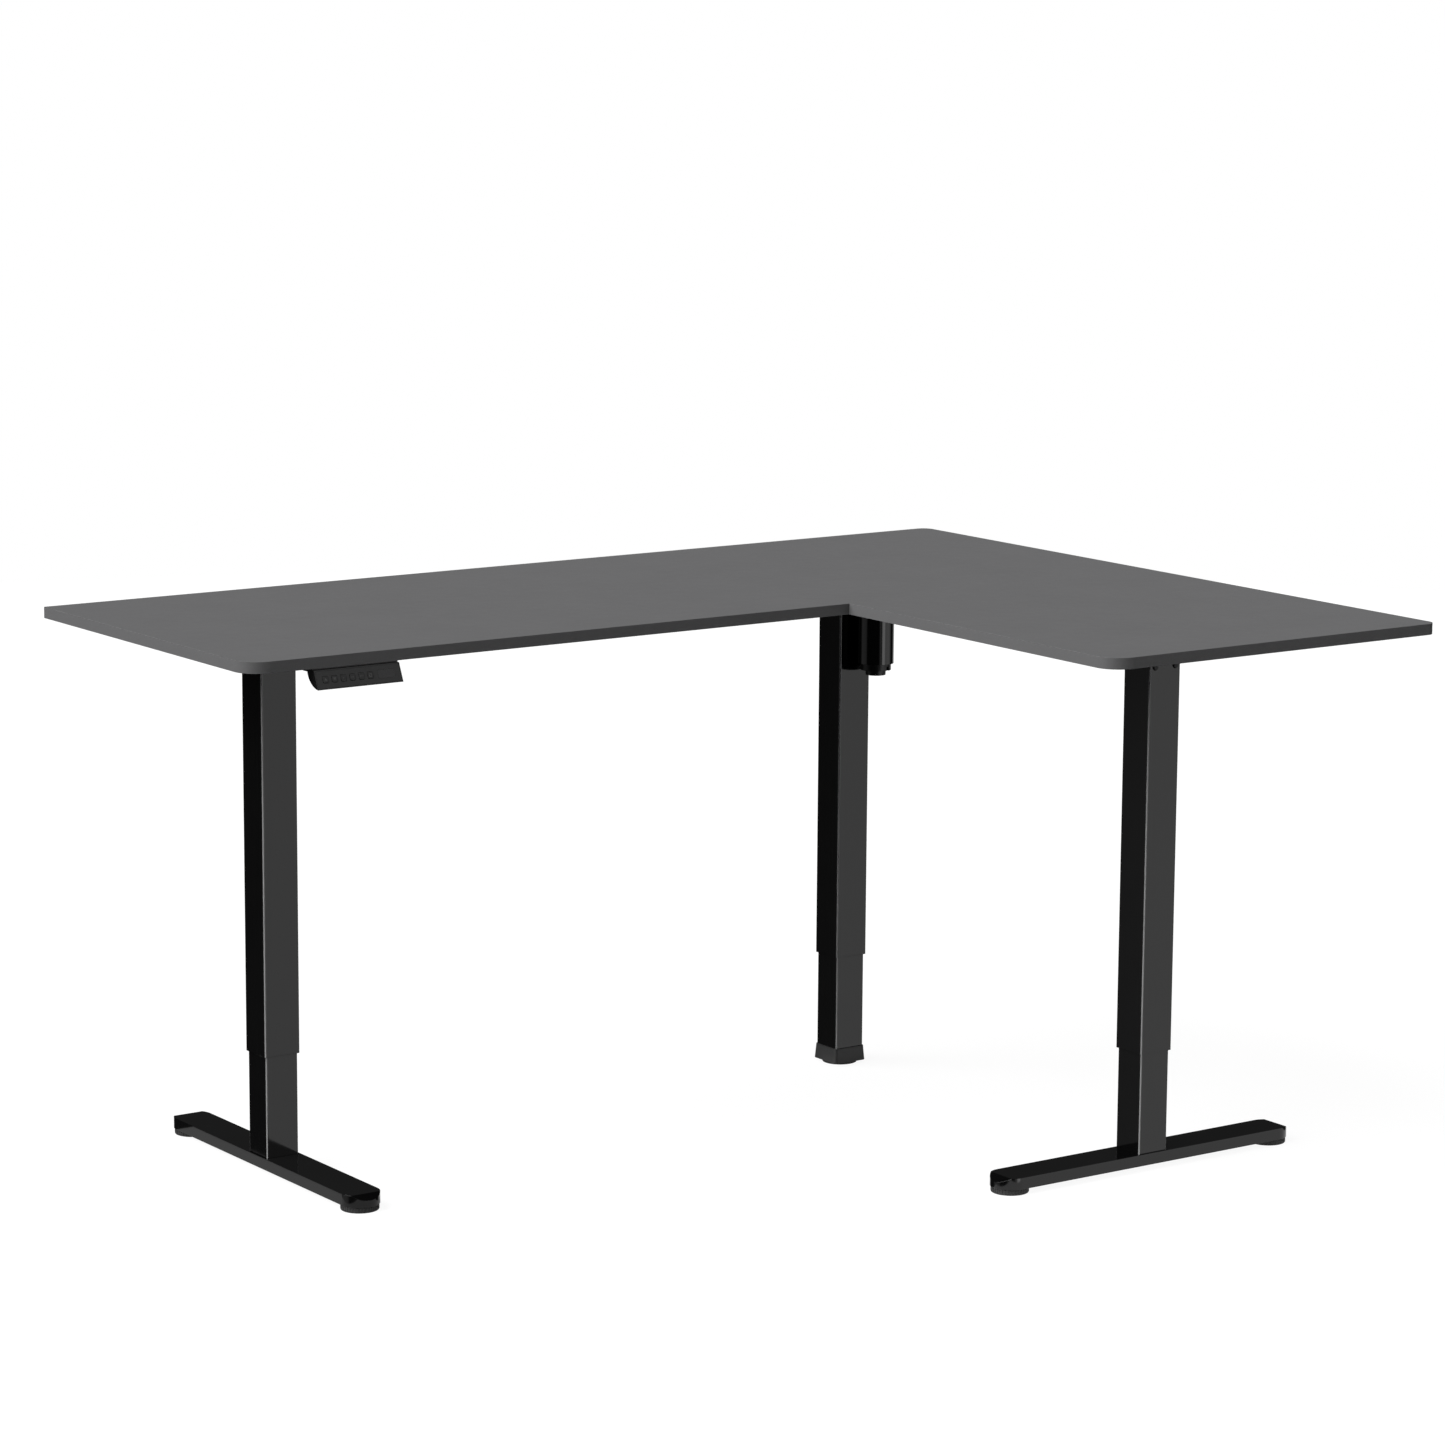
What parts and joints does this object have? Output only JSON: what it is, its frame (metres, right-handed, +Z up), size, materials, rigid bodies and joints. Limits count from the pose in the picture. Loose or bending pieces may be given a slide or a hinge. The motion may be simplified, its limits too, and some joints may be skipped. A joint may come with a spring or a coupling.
{
  "type": "height adjustable standing desk",
  "caption": "L-shaped sit-stand desk: one grey board on telescopic square legs, lifted by a single motor through hex shafts and lead screws.",
  "frame": {"origin": "floor level under the centre of the board's bounding rectangle", "axes": "+X along the main wing towards the return wing, +Y to the back edge, +Z up"},
  "size_m": [1.6, 1.2, 0.8],
  "materials": {
    "board": "matte melamine",
    "frame": "gloss powder coat",
    "tube": "gloss powder coat",
    "zinc_screw": "zinc plated",
    "black_screw": "blackened steel",
    "steel": "machined",
    "cast": "die cast",
    "nylon": "moulded",
    "motor_case": "gloss black",
    "moulding": "fine grain",
    "pad": "moulded",
    "handset": "satin",
    "display": "gloss",
    "button": "satin"
  },
  "bodies": {
    "left_base": {"inner_tube_left": "tube", "spindle_nut_left": "nylon", "leg_base_left": "steel", "foot_beam_left": "frame", "foot_bolts_left": "black_screw"},
    "upper": {"desktop": "board", "desktop_screws": "zinc_screw", "main_rails_outer": "frame", "main_rails_inner": "frame", "return_rails_outer": "frame", "return_rails_inner": "frame", "rail_bolts": "black_screw", "side_bracket_left": "frame", "side_bracket_right": "frame", "corner_plate": "frame", "outer_tube_left": "tube", "outer_tube_corner": "tube", "outer_tube_right": "tube", "column_glides": "nylon", "leg_gearbox_left": "cast", "leg_gearbox_corner": "cast", "leg_gearbox_right": "cast", "centre_gearbox": "cast", "motor_can": "motor_case", "motor_end_cap": "moulding", "bearings": "steel", "gearbox_screws": "black_screw", "handset_housing": "handset", "handset_panel": "handset", "handset_display": "display", "control_box": "moulding", "power_inlet": "moulding"},
    "corner_leg": {"inner_tube_corner": "tube", "spindle_nut_corner": "nylon", "corner_socket": "pad"},
    "right_leg": {"inner_tube_right": "tube", "spindle_nut_right": "nylon", "leg_base_right": "steel", "foot_beam_right": "frame", "foot_bolts_right": "black_screw"},
    "left_screw": {"lead_screw_left": "steel"},
    "corner_screw": {"lead_screw_corner": "steel"},
    "right_screw": {"lead_screw_right": "steel"},
    "main_shaft": {"drive_shaft_main": "steel"},
    "return_shaft": {"drive_shaft_return": "steel"},
    "corner_shaft": {"drive_shaft_corner": "steel"},
    "crown": {"centre_gear": "steel"},
    "rotor": {"motor_pinion": "steel"},
    "button_1": {"handset_button_1": "button"},
    "button_2": {"handset_button_2": "button"},
    "button_3": {"handset_button_3": "button"},
    "button_4": {"handset_button_4": "button"},
    "button_5": {"handset_button_5": "button"},
    "button_6": {"handset_button_6": "button"},
    "leveller_left_front": {"levelling_foot_left_front": "pad"},
    "leveller_left_back": {"levelling_foot_left_back": "pad"},
    "leveller_right_inner": {"levelling_foot_right_inner": "pad"},
    "leveller_right_outer": {"levelling_foot_right_outer": "pad"},
    "leveller_corner": {"levelling_foot_corner": "pad"}
  },
  "joints": [
    {"name": "lift", "type": "slide", "parent": "left_base", "child": "upper", "axis": [0, 0, 1], "range_m": [-0.08, 0.37]},
    {"name": "corner_leg_extend", "type": "slide", "parent": "upper", "child": "corner_leg", "axis": [0, 0, -1], "range_m": [-0.08, 0.37]},
    {"name": "right_leg_extend", "type": "slide", "parent": "upper", "child": "right_leg", "axis": [0, 0, -1], "range_m": [-0.08, 0.37]},
    {"name": "left_screw_turn", "type": "hinge", "parent": "upper", "child": "left_screw", "pos_m": [-0.596, 0.305, 0.5], "axis": [0, 0, 1], "range_deg": [-3601, 16651]},
    {"name": "corner_screw_turn", "type": "hinge", "parent": "upper", "child": "corner_screw", "pos_m": [0.4625, 0.366, 0.5], "axis": [0, 0, 1], "range_deg": [-3601, 16651]},
    {"name": "right_screw_turn", "type": "hinge", "parent": "upper", "child": "right_screw", "pos_m": [0.4625, -0.373, 0.5], "axis": [0, 0, 1], "range_deg": [-3601, 16651]},
    {"name": "main_shaft_turn", "type": "hinge", "parent": "upper", "child": "main_shaft", "pos_m": [0, 0.305, 0.76], "axis": [1, 0, 0], "range_deg": [-3601, 16651]},
    {"name": "return_shaft_turn", "type": "hinge", "parent": "upper", "child": "return_shaft", "pos_m": [0.4625, 0, 0.76], "axis": [0, 1, 0], "range_deg": [-3601, 16651]},
    {"name": "corner_shaft_turn", "type": "hinge", "parent": "upper", "child": "corner_shaft", "pos_m": [0.4625, 0.34, 0.76], "axis": [0, 1, 0], "range_deg": [-16651, 3601]},
    {"name": "crown_turn", "type": "hinge", "parent": "upper", "child": "crown", "pos_m": [0.4625, 0.305, 0.75], "axis": [0, 0, 1], "range_deg": [-8326, 1801]},
    {"name": "motor_turn", "type": "hinge", "parent": "upper", "child": "rotor", "pos_m": [0.4785, 0.305, 0.7], "axis": [0, 0, 1], "range_deg": [-3961, 18316]},
    {"name": "button_1_press", "type": "slide", "parent": "upper", "child": "button_1", "axis": [0, 0.9116, -0.4111], "range_m": [0, 0.0008], "stiffness_N_per_m": 600},
    {"name": "button_2_press", "type": "slide", "parent": "upper", "child": "button_2", "axis": [0, 0.9116, -0.4111], "range_m": [0, 0.0008], "stiffness_N_per_m": 600},
    {"name": "button_3_press", "type": "slide", "parent": "upper", "child": "button_3", "axis": [0, 0.9116, -0.4111], "range_m": [0, 0.0008], "stiffness_N_per_m": 600},
    {"name": "button_4_press", "type": "slide", "parent": "upper", "child": "button_4", "axis": [0, 0.9116, -0.4111], "range_m": [0, 0.0008], "stiffness_N_per_m": 600},
    {"name": "button_5_press", "type": "slide", "parent": "upper", "child": "button_5", "axis": [0, 0.9116, -0.4111], "range_m": [0, 0.0008], "stiffness_N_per_m": 600},
    {"name": "button_6_press", "type": "slide", "parent": "upper", "child": "button_6", "axis": [0, 0.9116, -0.4111], "range_m": [0, 0.0008], "stiffness_N_per_m": 600},
    {"name": "level_left_front", "type": "slide", "parent": "left_base", "child": "leveller_left_front", "axis": [0, 0, -1], "range_m": [0, 0.01]},
    {"name": "level_left_back", "type": "slide", "parent": "left_base", "child": "leveller_left_back", "axis": [0, 0, -1], "range_m": [0, 0.01]},
    {"name": "level_right_inner", "type": "slide", "parent": "right_leg", "child": "leveller_right_inner", "axis": [0, 0, -1], "range_m": [0, 0.01]},
    {"name": "level_right_outer", "type": "slide", "parent": "right_leg", "child": "leveller_right_outer", "axis": [0, 0, -1], "range_m": [0, 0.01]},
    {"name": "level_corner", "type": "slide", "parent": "corner_leg", "child": "leveller_corner", "axis": [0, 0, -1], "range_m": [0, 0.01]}
  ],
  "couplings": [
    {"joint": "corner_leg_extend", "follows": "lift", "ratio": 1},
    {"joint": "right_leg_extend", "follows": "lift", "ratio": 1},
    {"joint": "left_screw_turn", "follows": "lift", "rad_per_m": 785.4},
    {"joint": "corner_screw_turn", "follows": "lift", "rad_per_m": 785.4},
    {"joint": "right_screw_turn", "follows": "lift", "rad_per_m": 785.4},
    {"joint": "main_shaft_turn", "follows": "lift", "rad_per_m": 785.4},
    {"joint": "return_shaft_turn", "follows": "lift", "rad_per_m": 785.4},
    {"joint": "corner_shaft_turn", "follows": "lift", "rad_per_m": -785.4},
    {"joint": "crown_turn", "follows": "lift", "rad_per_m": -392.7},
    {"joint": "motor_turn", "follows": "lift", "rad_per_m": 863.94}
  ]
}
